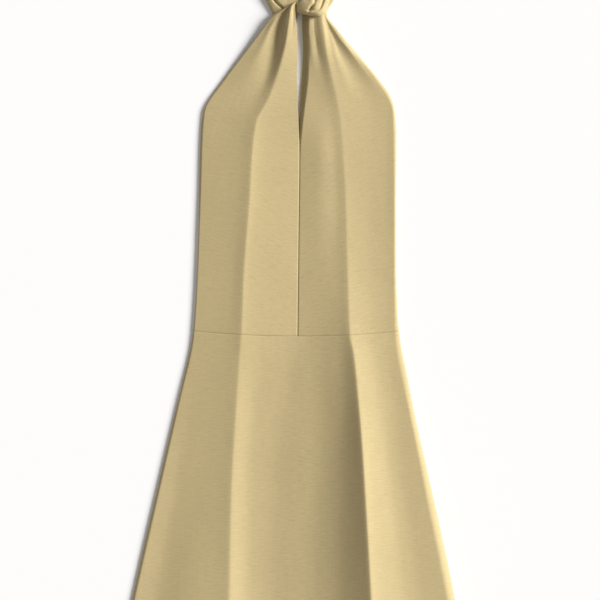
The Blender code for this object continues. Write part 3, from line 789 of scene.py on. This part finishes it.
LEFT_LINES = [
    Line(SIDE_LEFT, 0.0),
    Line(ROLL_LEFT, 0.0),
    Line(OUTER_LEFT, BEND_SOFT),
    Line(VALLEY_LEFT, BEND_SOFT),
    Line(RIDGE_LEFT, BEND_SHARP),
]
RIGHT_LINES = [
    Line(INNER_RIGHT, BEND_SOFT),
    Line(DIP_RIGHT, BEND_SOFT),
    Line(RIDGE_RIGHT, BEND_SHARP),
    Line(FLANK_RIGHT, BEND_SOFT),
    Line(OUTER_RIGHT, BEND_SOFT),
    Line(ROLL_RIGHT, 0.0),
    Line(SIDE_RIGHT, 0.0),
]
BODICE_LEFT_LINES = [*LEFT_LINES, Line(SLIT_LEFT, 0.0, -SEAM_GAP / 2)]
BODICE_RIGHT_LINES = [
    Line(TURN_RIGHT, 0.0, SEAM_GAP / 2),
    Line(UNDER_RIGHT, BEND_TIGHT),
    Line(SLIT_RIGHT, BEND_TIGHT),
    *RIGHT_LINES,
]
SKIRT_LINES = [
    *LEFT_LINES,
    Line(FOOT_LEFT, BEND_SOFT),
    Line(CENTRE_SKIRT, BEND_SOFT),
    *RIGHT_LINES,
]


class PressedCrease:
    """A crease along a ridge, which reaches further on one side than on the other."""

    def __init__(self, line, rows):
        self.across = line.across
        self.height, self.left_reach, self.right_reach = (
            column_curve(rows, "level", name) for name in Crease._fields[1:]
        )


CREASES = [
    PressedCrease(LEFT_LINES[-1], CREASE_LEFT),
    PressedCrease(RIGHT_LINES[2], CREASE_RIGHT),
]


def crease_height(across, level):
    """What the pressed creases add to the cloth's height."""
    total = 0.0
    for crease in CREASES:
        away = across - crease.across(level)
        reach = np.where(away < 0, crease.left_reach(level), crease.right_reach(level))
        away = np.hypot(away, CREASE_ROUNDING) - CREASE_ROUNDING
        total = total + crease.height(level) * np.exp(-away / reach)
    return total


def bent_height(across, level, lines):
    """Height of cloth that runs straight between its lines and turns softly at each."""
    places = [line.across(level) for line in lines]
    heights = [line.height(level) for line in lines]
    slopes = [
        (heights[i + 1] - heights[i]) / (places[i + 1] - places[i])
        for i in range(len(lines) - 1)
    ]
    height = heights[0] + slopes[0] * (across - places[0])
    for i in range(1, len(lines) - 1):
        away = across - places[i]
        room = 0.5 * np.minimum(places[i] - places[i - 1], places[i + 1] - places[i])
        bend = np.maximum(np.minimum(lines[i].bend, room), 1e-6)
        ramp = np.where(away >= bend, away, (np.maximum(away + bend, 0.0)) ** 2 / (4 * bend))
        height = height + (slopes[i] - slopes[i - 1]) * ramp
    return height + crease_height(across, level)


def wrinkle_height(across, level):
    """What the small folds of the gathers add."""
    total = 0.0
    for rows in GATHER_WRINKLES:
        curves = [column_curve(rows, "level", name) for name in ("across", "width", "height")]
        place, width, height = (curve(level) for curve in curves)
        total = total + height * np.exp(-(((across - place) / width) ** 2))
    return total


def station_points(stations, level, lines, left_roll, right_roll):
    """Places and heights at stations, whose whole part counts the lines from the left."""
    last = len(lines) - 1
    index = np.clip(stations.astype(int), 0, last - 1)
    share = stations - index
    places = np.stack([line.across(level) for line in lines])
    here = np.take_along_axis(places, index[None], 0)[0]
    there = np.take_along_axis(places, index[None] + 1, 0)[0]
    in_left = (stations < 1) & left_roll
    in_right = (stations > last - 1) & right_roll
    angle = np.where(in_left, share, 1 - share) * math.pi / 2
    turned = 1 - np.cos(angle)
    across = here + (there - here) * share
    across = np.where(in_left, here + (there - here) * turned, across)
    across = np.where(in_right, there - (there - here) * turned, across)
    inner = lines[1 if left_roll else 0 : last if right_roll else last + 1]
    height = bent_height(across, level, inner) + wrinkle_height(across, level)
    for inside, edge in ((in_left, lines[0]), (in_right, lines[last])):
        low = edge.height(level)
        height = np.where(inside, low + (height - low) * np.sin(angle), height)
    return across, height


def waist_seam(across):
    """Level of the waist seam, which rises a little towards the sides."""
    return WAIST_LEVEL + WAIST_RISE * ((across - WAIST_MIDDLE) / WAIST_HALF_WIDTH) ** 2


def hem_edge(across):
    """Level of the hem, which is cut to an arc."""
    return HEM_LEVEL + HEM_RADIUS - np.sqrt(HEM_RADIUS**2 - across**2)


def bodice_level(across, level):
    """A bodice row at that level, following the waist seam near it."""
    share = (WAIST_BLEND_LEVEL - level) / (WAIST_BLEND_LEVEL - WAIST_LEVEL)
    return level + (waist_seam(across) - WAIST_LEVEL + SEAM_GAP / 2) * np.clip(share, 0, 1)


def skirt_level(across, share):
    """A skirt row that share of the way from the waist seam to the hem."""
    top = waist_seam(across) - SEAM_GAP / 2
    return top + (hem_edge(across) - top) * share


def back_bodice_level(across, share):
    """A row of the back bodice that share of the way up."""
    bottom = waist_seam(across) + SEAM_GAP / 2
    aside = (across - WAIST_MIDDLE) / BACK_TOP_HALF_WIDTH
    top = UNDERARM_LEVEL - BACK_TOP_DIP * (1 - aside**2)
    return bottom + (top - bottom) * share


def spread(width, facet):
    """Shares from 0 up to 1, left out, set closer together at both ends."""
    steps = max(int(round(width / facet)), 4)
    even = np.arange(steps) / steps
    return even - STATION_CROWDING * np.sin(2 * math.pi * even) / (2 * math.pi)


def stations_of(lines, level, facet, seams=()):
    """Stations across a panel, closer at the fold lines and beside the seams."""
    places = [float(line.across(level)) for line in lines]
    stations = [
        i + spread(places[i + 1] - places[i], facet) for i in range(len(places) - 1)
    ]
    stations.append([len(places) - 1.0])
    for station in seams:
        inward = 1 if station == 0 else -1
        first = min(station, station + inward)
        width = places[first + 1] - places[first]
        stations.append(station + inward * np.array(ROWS_BY_SEAM[1:]) / width)
    return np.unique(np.concatenate(stations).round(6))


def grid_of(stations, rows, row_level, lines, left_roll, right_roll, seam_dip):
    """Outer points of a panel. A row's level and its points' places are settled together."""
    stations, rows = np.meshgrid(stations, rows)
    level = row_level(0.0 * rows, rows)
    for _ in range(SETTLE_STEPS):
        across, height = station_points(stations, level, lines, left_roll, right_roll)
        level = row_level(across, rows)
    height = height + seam_dip(across, level)
    return np.stack([across, level, np.maximum(height, 0.0)], axis=2)


def dip_at(distance, cloth):
    """How far the cloth dips at that distance from a seam."""
    return -cloth.seam_depth * np.exp(-((distance / cloth.seam_reach) ** 2))


def normals_of(grid):
    """Unit normals of a grid of points, upwards, and level where the cloth meets the floor."""
    normal = np.cross(np.gradient(grid, axis=1), np.gradient(grid, axis=0))
    normal /= np.linalg.norm(normal, axis=2, keepdims=True)
    normal[grid[:, :, 2] < 1e-6, 2] = 0.0
    return normal / np.linalg.norm(normal, axis=2, keepdims=True)


def thread_places(grid, slant):
    """Where each point lies along and across the threads, in metres of flat cloth."""
    steps = np.linalg.norm(np.diff(grid, axis=1), axis=2)
    along = np.concatenate([np.zeros((len(grid), 1)), np.cumsum(steps, axis=1)], axis=1)
    middle = np.argmin(np.abs(grid[:, :, 0] - WAIST_MIDDLE), axis=1)
    along = along - np.take_along_axis(along, middle[:, None], 1)
    turn = math.radians(slant)
    up = grid[:, :, 1]
    return np.stack(
        [
            along * math.cos(turn) + up * math.sin(turn),
            up * math.cos(turn) - along * math.sin(turn),
        ],
        axis=2,
    )


def piece_from(name, points, faces, places, material, sharp=()):
    """A mesh object with thread places as its UV map, smooth but for the sharp edges."""
    mesh = bpy.data.meshes.new(name)
    mesh.from_pydata(points.tolist(), [], faces)
    layer = mesh.uv_layers.new(name="threads")
    corners = np.empty(len(mesh.loops), dtype=np.int32)
    mesh.loops.foreach_get("vertex_index", corners)
    layer.data.foreach_set("uv", places[corners].astype(np.float32).ravel())
    mesh.shade_smooth()
    if sharp:
        keys = {tuple(sorted(edge)) for edge in sharp}
        for edge in mesh.edges:
            if tuple(sorted(edge.vertices)) in keys:
                edge.use_edge_sharp = True
    mesh.materials.append(material)
    mesh.validate()
    piece = bpy.data.objects.new(name, mesh)
    bpy.context.scene.collection.objects.link(piece)
    return piece


def cloth_shell(name, outer, thickness, slant, material):
    """A panel with those outer points, its cloth's thickness and a plain rim along its edge,
    shaded sharp.
    """
    rows, columns = outer.shape[:2]
    normal = normals_of(outer)
    inner = outer - normal * thickness
    inner[:, :, 2] = np.maximum(inner[:, :, 2], 0.0)
    count = rows * columns
    index = np.arange(count).reshape(rows, columns)
    a, b = index[:-1, :-1].ravel(), index[:-1, 1:].ravel()
    c, d = index[1:, 1:].ravel(), index[1:, :-1].ravel()
    faces = np.stack([a, b, c, d], axis=1).tolist()
    faces += (np.stack([d, c, b, a], axis=1) + count).tolist()
    around = np.concatenate(
        [index[0, :-1], index[:-1, -1], index[-1, :0:-1], index[:0:-1, 0]]
    ).tolist()
    sharp = []
    for start, end in zip(around, around[1:] + around[:1]):
        faces.append((end, start, count + start, count + end))
        sharp += [(start, end), (count + start, count + end)]
    points = np.concatenate([outer.reshape(-1, 3), inner.reshape(-1, 3)])
    places = thread_places(outer, slant).reshape(-1, 2)
    places = np.concatenate([places, places])
    return piece_from(name, points, faces, places, material, sharp)


def settle_piece(piece, node):
    """The piece rides on the frame and stands for its node, whose solid is hidden."""
    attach(piece, "root")
    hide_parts(node)


def add_node(tree, kind, settings=None, links=None):
    """A shader node with its settings and inputs. A link is a pair of node and output."""
    node = tree.nodes.new(kind)
    for key, value in (settings or {}).items():
        setattr(node, key, value)
    for key, value in (links or {}).items():
        if isinstance(value, tuple) and isinstance(value[0], bpy.types.Node):
            tree.links.new(value[0].outputs[value[1]], node.inputs[key])
        else:
            node.inputs[key].default_value = value
    return node


def slubbed_plain_weave(cloth):
    """Linen and viscose plain weave, piece-dyed: slubs in the weft give fine level streaks."""
    name = "slubbed_linen_viscose_weave"
    if name in bpy.data.materials:
        return bpy.data.materials[name]
    material = bpy.data.materials.new(name)
    material.use_nodes = True
    tree = material.node_tree
    tree.nodes.clear()
    threads = add_node(tree, "ShaderNodeUVMap", {"uv_map": "threads"})

    def streaks(length, width, detail):
        """Noise drawn out to streaks of that length and width, in metres."""
        placed = add_node(
            tree,
            "ShaderNodeMapping",
            links={"Vector": (threads, "UV"), "Scale": (1 / length, 1 / width, 1.0)},
        )
        return add_node(
            tree,
            "ShaderNodeTexNoise",
            {"noise_dimensions": "2D"},
            {"Vector": (placed, "Vector"), "Scale": 1.0, "Detail": detail},
        )

    def share_of(noise, low, high):
        return add_node(
            tree,
            "ShaderNodeMapRange",
            links={"Value": (noise, "Fac"), "From Min": low, "From Max": high},
        )

    weft_slubs = streaks(0.016, 0.0015, 1.0)
    weft_shade = streaks(0.034, 0.0030, 2.0)
    warp_shade = streaks(0.0022, 0.090, 1.0)
    tone = streaks(0.110, 0.150, 2.0)
    colour = add_node(
        tree,
        "ShaderNodeMix",
        {"data_type": "RGBA"},
        {
            "Factor": (share_of(weft_slubs, 0.60, 0.78), "Result"),
            6: (*cloth.colour, 1.0),
            7: (*cloth.light_slub, 1.0),
        },
    )
    colour = add_node(
        tree,
        "ShaderNodeMix",
        {"data_type": "RGBA"},
        {
            "Factor": (share_of(weft_slubs, 0.42, 0.25), "Result"),
            6: (colour, 2),
            7: (*cloth.dark_slub, 1.0),
        },
    )
    output = 2  # where the mixed colour comes out
    for noise, swing in ((weft_shade, 0.02), (warp_shade, 0.015), (tone, 0.02)):
        lightness = add_node(
            tree,
            "ShaderNodeMapRange",
            links={
                "Value": (noise, "Fac"),
                "From Min": 0.3,
                "From Max": 0.7,
                "To Min": 1 - swing,
                "To Max": 1 + swing,
            },
        )
        colour = add_node(
            tree,
            "ShaderNodeVectorMath",
            {"operation": "SCALE"},
            {0: (colour, output), "Scale": (lightness, "Result")},
        )
        output = 0
    # Threads 0.9 mm apart, which only shows close up.
    spacing = 0.0009
    waves = [
        add_node(
            tree,
            "ShaderNodeTexWave",
            {"bands_direction": direction},
            {"Vector": (threads, "UV"), "Scale": 2 * math.pi / 20 / spacing},
        )
        for direction in ("X", "Y")
    ]
    weave = add_node(
        tree,
        "ShaderNodeMath",
        {"operation": "ADD"},
        {0: (waves[0], "Fac"), 1: (waves[1], "Fac")},
    )
    relief = add_node(
        tree,
        "ShaderNodeMath",
        {"operation": "MULTIPLY_ADD"},
        {0: (weft_slubs, "Fac"), 1: 0.5, 2: (weave, "Value")},
    )
    bump = add_node(
        tree,
        "ShaderNodeBump",
        links={"Height": (relief, "Value"), "Strength": 0.5, "Distance": 0.00012},
    )
    shader = add_node(
        tree,
        "ShaderNodeBsdfPrincipled",
        links={
            "Base Color": (colour, 0),
            "Normal": (bump, "Normal"),
            "Roughness": 0.86,
            "IOR": 1.5,
            "Specular IOR Level": 0.3,
            "Sheen Weight": 0.12,
            "Sheen Roughness": 0.5,
        },
    )
    add_node(tree, "ShaderNodeOutputMaterial", links={"Surface": (shader, "BSDF")})
    return material


def bodice_rows(top, cloth):
    """Levels of the rows of a front bodice, closer by the waist seam and in the gathers."""
    by_seam = WAIST_LEVEL + np.array(ROWS_BY_SEAM)
    plain = np.arange(WAIST_LEVEL + 0.006, GATHERED_LEVEL, cloth.facet * 1.6)
    gathered = np.linspace(GATHERED_LEVEL, top, 1 + int((top - GATHERED_LEVEL) / 0.0022))
    return np.concatenate([by_seam, plain, gathered])


class DRESS_OT_front_bodice(Operator):
    """Makes the two fronts of the bodice, with their gathers and the slit between them"""

    bl_idname = "dress.front_bodice"
    bl_label = "Front bodice"

    def execute(self, context):
        cloth = context.scene.dress_cloth
        material = slubbed_plain_weave(cloth)

        def seam_dip(across, level):
            to_middle = across - BODICE_LEFT_LINES[-1].across(level)
            middle = dip_at(to_middle, cloth)
            fade = np.clip((MIDDLE_SEAM_LEVEL - level) / MIDDLE_SEAM_FADE, 0, 1)
            return middle * fade + dip_at(level - waist_seam(across), cloth)

        sides = (
            ("front_bodice_left", BODICE_LEFT_LINES, LEFT_TOP_LEVEL, True, -GRAIN_SLANT),
            ("front_bodice_right", BODICE_RIGHT_LINES, RIGHT_TOP_LEVEL, False, GRAIN_SLANT),
        )
        for node, lines, top, is_left, slant in sides:
            seam = len(lines) - 1 if is_left else 0
            grid = grid_of(
                stations_of(lines, BODICE_SAMPLE_LEVEL, cloth.facet, (seam,)),
                bodice_rows(top, cloth),
                bodice_level,
                lines,
                is_left,
                not is_left,
                seam_dip,
            )
            piece = cloth_shell(node + "_cloth", grid, cloth.thickness, slant, material)
            settle_piece(piece, node)
        return {"FINISHED"}


class DRESS_OT_front_skirt(Operator):
    """Makes the flared front of the skirt, with its long folds and turned hem"""

    bl_idname = "dress.front_skirt"
    bl_label = "Front skirt"

    def execute(self, context):
        cloth = context.scene.dress_cloth

        def seam_dip(across, level):
            hem = level - hem_edge(across) - cloth.hem_depth
            turned = HEM_TURN_HEIGHT / (1 + np.exp(np.clip(hem / HEM_TURN_SOFTNESS, -40, 40)))
            return dip_at(level - waist_seam(across), cloth) + turned

        shares = np.concatenate([SKIRT_ROWS_BY_SEAM, np.linspace(0.009, 1.0, 110)])[::-1]
        grid = grid_of(
            stations_of(SKIRT_LINES, SKIRT_SAMPLE_LEVEL, cloth.facet * 1.2),
            shares,
            skirt_level,
            SKIRT_LINES,
            True,
            True,
            seam_dip,
        )
        material = slubbed_plain_weave(cloth)
        piece = cloth_shell("front_skirt_cloth", grid, cloth.thickness, 0.0, material)
        settle_piece(piece, "front_skirt")
        return {"FINISHED"}


class DRESS_OT_back(Operator):
    """Makes the flat back of the bodice and of the skirt"""

    bl_idname = "dress.back"
    bl_label = "Back"

    def execute(self, context):
        cloth = context.scene.dress_cloth
        material = slubbed_plain_weave(cloth)
        left, right = LEFT_LINES[0].across, RIGHT_LINES[-1].across
        even = np.linspace(0, 1, BACK_POINTS)
        for node, row_level, order in (
            ("back_bodice", back_bodice_level, even),
            ("back_skirt", skirt_level, even[::-1]),
        ):
            shares, rows = np.meshgrid(even, order)
            level = row_level(0.0 * rows, rows)
            for _ in range(SETTLE_STEPS):
                start, end = left(level) + BACK_INSET, right(level) - BACK_INSET
                across = start + (end - start) * shares
                level = row_level(across, rows)
            grid = np.stack([across, level, np.full_like(level, cloth.thickness)], axis=2)
            piece = cloth_shell(node + "_cloth", grid, cloth.thickness, 0.0, material)
            settle_piece(piece, node)
        return {"FINISHED"}


def dent_depth(x, y):
    """How far the knot is pinched in at a place."""
    total = 0.0
    for dent in KNOT_DENTS:
        turn = math.radians(dent.turn)
        along = (x - dent.across) * math.cos(turn) + (y - dent.level) * math.sin(turn)
        beside = (y - dent.level) * math.cos(turn) - (x - dent.across) * math.sin(turn)
        total = total + dent.depth * np.exp(
            -((along / dent.length) ** 2) - (beside / dent.width) ** 2
        )
    return total


def path_curves(rows):
    """Smooth functions of the distance along a strap for each column of its table."""
    middles = [
        ((row.inner_across + row.outer_across) / 2, (row.inner_level + row.outer_level) / 2)
        for row in rows
    ]
    steps = [math.dist(a, b) for a, b in zip(middles, middles[1:])]
    along = [sum(steps[:i]) for i in range(len(rows))]
    placed_row = namedtuple("PlacedRow", ("along", *Strap._fields))
    placed = [placed_row(place, *row) for place, row in zip(along, rows)]
    curves = [column_curve(placed, "along", name) for name in Strap._fields]
    return curves, along[-1]


def cloth_below(x, y):
    """Height that clears the right front's gathers near a point under the strap."""
    lines = BODICE_RIGHT_LINES
    reach = GATHER_REACH
    highest = np.zeros_like(x)
    for level in (y - reach, y, y + reach):
        for across in (x - reach, x, x + reach):
            inside = (across > lines[0].across(level) - reach) & (
                across < lines[-1].across(level) + reach
            )
            inside &= level < RIGHT_TOP_LEVEL + reach
            height = bent_height(across, level, lines[:-1]) + STRAP_OVER_CLOTH
            highest = np.where(inside, np.maximum(highest, height), highest)
    return highest


def strap_rings(rows, folds, over_gathers):
    """Rings of points along a gathered strap, the inner edge's point first in each."""
    curves, total = path_curves(rows)
    distance = np.linspace(0.0, total - SEAM_GAP, STRAP_RINGS)[:, None]
    inner_x, inner_y, outer_x, outer_y, bottom, depth = (curve(distance) for curve in curves)
    top_turn = math.pi * np.arange(STRAP_TOP_STEPS + 1) / STRAP_TOP_STEPS
    low_turn = math.pi * np.arange(1, STRAP_BOTTOM_STEPS) / STRAP_BOTTOM_STEPS
    top_side = -np.cos(top_turn)[None, :]
    low_side = STRAP_UNDERSIDE_SHARE * np.cos(low_turn)[None, :]
    dome = np.maximum(1 - np.abs(top_side) ** DOME_POWER, 0.0) ** DOME_ROOT
    share_left = np.ones_like(top_side * distance)
    for trough in folds:
        curves = [column_curve(trough, "distance", name) for name in StrapFold._fields[1:]]
        place, width, deep = (curve(distance) for curve in curves)
        share_left -= deep * np.exp(-(((top_side - place) / width) ** 2))
    top = bottom + depth * (STRAP_EDGE_SHARE + (1 - STRAP_EDGE_SHARE) * dome * share_left)
    side = np.concatenate([top_side + 0 * distance, low_side + 0 * distance], axis=1)
    height = np.concatenate([top, bottom + 0 * low_side], axis=1)
    share = (1 + side) / 2
    x = inner_x + (outer_x - inner_x) * share
    y = inner_y + (outer_y - inner_y) * share
    if over_gathers:
        floor_height = cloth_below(x, y)
        upper = np.arange(x.shape[1]) < top_side.shape[1]
        height = np.where(upper, height - dent_depth(x, y), height)
        height = np.maximum(height, floor_height + upper * STRAP_TOP_OVER_CLOTH)
    return np.stack([x, y, height], axis=2), distance


class DRESS_OT_neck_straps(Operator):
    """Makes the gathered straps of the neck and the wrap of the knot"""

    bl_idname = "dress.neck_straps"
    bl_label = "Neck straps"

    def execute(self, context):
        cloth = context.scene.dress_cloth
        material = slubbed_plain_weave(cloth)
        for node, rows, folds, over_gathers in (
            ("neck_strap_left", STRAP_LEFT, LEFT_STRAP_FOLDS, False),
            ("neck_strap_right", STRAP_RIGHT, RIGHT_STRAP_FOLDS, True),
        ):
            rings, distance = strap_rings(rows, folds, over_gathers)
            count, around = rings.shape[:2]
            faces = []
            for i in range(count - 1):
                for j in range(around):
                    a, b = i * around + j, i * around + (j + 1) % around
                    faces.append((a, b, b + around, a + around))
            faces.append(tuple(reversed(range(around))))
            faces.append(tuple((count - 1) * around + j for j in range(around)))
            if not over_gathers:
                faces = [tuple(reversed(face)) for face in faces]
            steps = np.linalg.norm(np.diff(rings, axis=1), axis=2)
            width = np.concatenate([np.zeros((count, 1)), np.cumsum(steps, axis=1)], axis=1)
            places = np.stack([width, distance + 0 * width], axis=2).reshape(-1, 2)
            points = rings.reshape(-1, 3)
            piece = piece_from(node + "_cloth", points, faces, places, material)
            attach(piece, "root")
            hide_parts(node)
        return {"FINISHED"}


class DRESS_OT_stage(Operator):
    """Makes the floor, the lights and the camera"""

    bl_idname = "dress.stage"
    bl_label = "Stage"

    def execute(self, context):
        stage = context.scene.dress_stage
        scene = context.scene
        material = bpy.data.materials.new("matt_painted_board")
        material.use_nodes = True
        shader = material.node_tree.nodes["Principled BSDF"]
        shader.inputs["Base Color"].default_value = (*stage.floor_colour, 1.0)
        shader.inputs["Roughness"].default_value = 0.9
        mesh = bpy.data.meshes.new("floor")
        half = FLOOR_HALF_WIDTH
        corners = [(-half, -half, 0), (half, -half, 0), (half, half, 0), (-half, half, 0)]
        mesh.from_pydata(corners, [], [(0, 1, 2, 3)])
        mesh.materials.append(material)
        floor = bpy.data.objects.new("floor", mesh)
        floor.location.z = -FLOOR_DROP
        scene.collection.objects.link(floor)

        lamp = bpy.data.lights.new("key_light", "SUN")
        lamp.energy = stage.key_strength
        lamp.angle = stage.key_softness
        key = bpy.data.objects.new("key_light", lamp)
        height = stage.key_height
        aim = Vector((math.cos(height), KEY_TOWARDS_NECK, math.sin(height)))
        key.rotation_euler = aim.to_track_quat("Z", "Y").to_euler()
        scene.collection.objects.link(key)

        world = bpy.data.worlds.new("studio")
        world.use_nodes = True
        background = world.node_tree.nodes["Background"]
        background.inputs["Color"].default_value = (1.0, 0.99, 0.97, 1.0)
        background.inputs["Strength"].default_value = stage.fill_strength
        scene.world = world
        scene.view_settings.view_transform = "Standard"

        lens = bpy.data.cameras.new("camera")
        lens.lens = lens.sensor_width * stage.camera_height / stage.view_width
        camera = bpy.data.objects.new("camera", lens)
        camera.location = (*VIEW_CENTRE, stage.camera_height)
        scene.collection.objects.link(camera)
        scene.camera = camera
        return {"FINISHED"}


STEPS = (
    DRESS_OT_back,
    DRESS_OT_front_bodice,
    DRESS_OT_front_skirt,
    DRESS_OT_neck_straps,
    DRESS_OT_stage,
)


class DRESS_PT_sidebar(Panel):
    """Lists the pieces of the dress with their sizes and colours"""

    bl_label = "Halter dress"
    bl_idname = "DRESS_PT_sidebar"
    bl_space_type = "VIEW_3D"
    bl_region_type = "UI"
    bl_category = "Dress"

    def draw(self, context):
        for settings in (context.scene.dress_cloth, context.scene.dress_stage):
            for name in settings.__annotations__:
                self.layout.prop(settings, name)
        for step in STEPS:
            self.layout.operator(step.bl_idname)


CLASSES = (ClothSettings, StageSettings, *STEPS, DRESS_PT_sidebar)


def register():
    for cls in CLASSES:
        bpy.utils.register_class(cls)
    bpy.types.Scene.dress_cloth = PointerProperty(type=ClothSettings)
    bpy.types.Scene.dress_stage = PointerProperty(type=StageSettings)


def unregister():
    del bpy.types.Scene.dress_stage
    del bpy.types.Scene.dress_cloth
    for cls in reversed(CLASSES):
        bpy.utils.unregister_class(cls)


def main():
    register()
    for step in STEPS:
        group, name = step.bl_idname.split(".")
        getattr(getattr(bpy.ops, group), name)()


if __name__ == "__main__":
    main()
